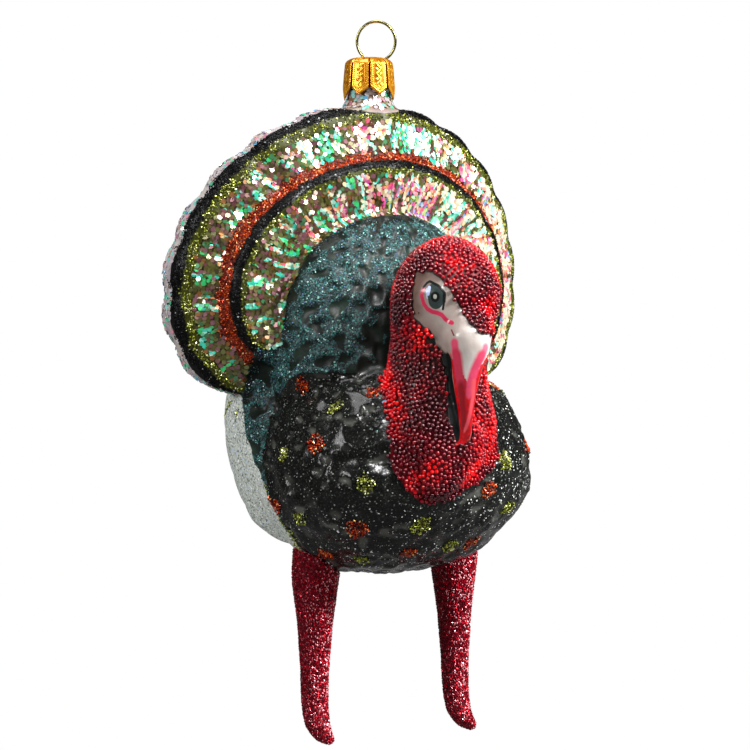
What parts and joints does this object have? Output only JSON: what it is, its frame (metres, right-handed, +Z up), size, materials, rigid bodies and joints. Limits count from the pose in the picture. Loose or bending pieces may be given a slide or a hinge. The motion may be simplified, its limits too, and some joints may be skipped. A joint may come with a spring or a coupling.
{
  "type": "hanging turkey bauble",
  "caption": "Blown glass bauble shaped as a standing turkey with a fanned tail, a beaded head, two glass legs, and a metal cap with a wire loop to hang it by.",
  "frame": {"origin": "where a hook carries the wire loop, on the inside of the loop above the glass neck's axis", "axes": "+Z up along the glass neck, -Y the way the bird faces, +X to the bird's left"},
  "size_m": [0.0918, 0.0741, 0.1631],
  "materials": {
    "lacquered_glass": "glossy lacquered and silvered glass under glitter",
    "red_glitter": "coarse glitter over lacquered glass",
    "red_beads": "small clear red glass beads, packed side by side",
    "black_glitter": "fine glitter",
    "lime_glitter": "metallic glitter",
    "orange_glitter": "metallic glitter",
    "flakes": "iridescent flakes in clear glue",
    "gold_cap": "gold lacquered and embossed",
    "wire": "dull brass plating"
  },
  "bodies": {
    "hanger": {"hanger_wire": "wire"},
    "cap": {"hanger_cap": "gold_cap"},
    "bird": {"glass_bird": "lacquered_glass", "left_leg": "red_glitter", "right_leg": "red_glitter", "head_bead_coat": "red_beads", "fan_inner_black_band": "black_glitter", "fan_inner_flake_coat": "flakes", "fan_inner_lime_band": "lime_glitter", "fan_orange_band": "orange_glitter", "fan_outer_black_band": "black_glitter", "fan_outer_flake_coat": "flakes", "fan_outer_lime_band": "lime_glitter", "lime_dot_1": "lime_glitter", "lime_dot_2": "lime_glitter", "lime_dot_3": "lime_glitter", "lime_dot_4": "lime_glitter", "lime_dot_5": "lime_glitter", "lime_dot_6": "lime_glitter", "lime_dot_7": "lime_glitter", "lime_dot_8": "lime_glitter", "lime_dot_9": "lime_glitter", "lime_dot_10": "lime_glitter", "lime_dot_11": "lime_glitter", "lime_dot_12": "lime_glitter", "orange_dot_1": "orange_glitter", "orange_dot_2": "orange_glitter", "orange_dot_3": "orange_glitter", "orange_dot_4": "orange_glitter", "orange_dot_5": "orange_glitter", "orange_dot_6": "orange_glitter", "orange_dot_7": "orange_glitter", "orange_dot_8": "orange_glitter", "orange_dot_9": "orange_glitter", "orange_dot_10": "orange_glitter", "orange_dot_11": "orange_glitter", "orange_dot_12": "orange_glitter", "orange_dot_13": "orange_glitter", "orange_dot_14": "orange_glitter"}
  },
  "joints": [
    {"name": "loop_tilt", "type": "hinge", "parent": "hanger", "child": "cap", "pos_m": [0, 0, -0.00748], "axis": [0.7071, -0.7071, 0], "range_deg": [-8, 8]},
    {"name": "cap_turn", "type": "hinge", "parent": "cap", "child": "bird", "pos_m": [0, 0, -0.00748], "axis": [0, 0, 1], "continuous": true}
  ]
}
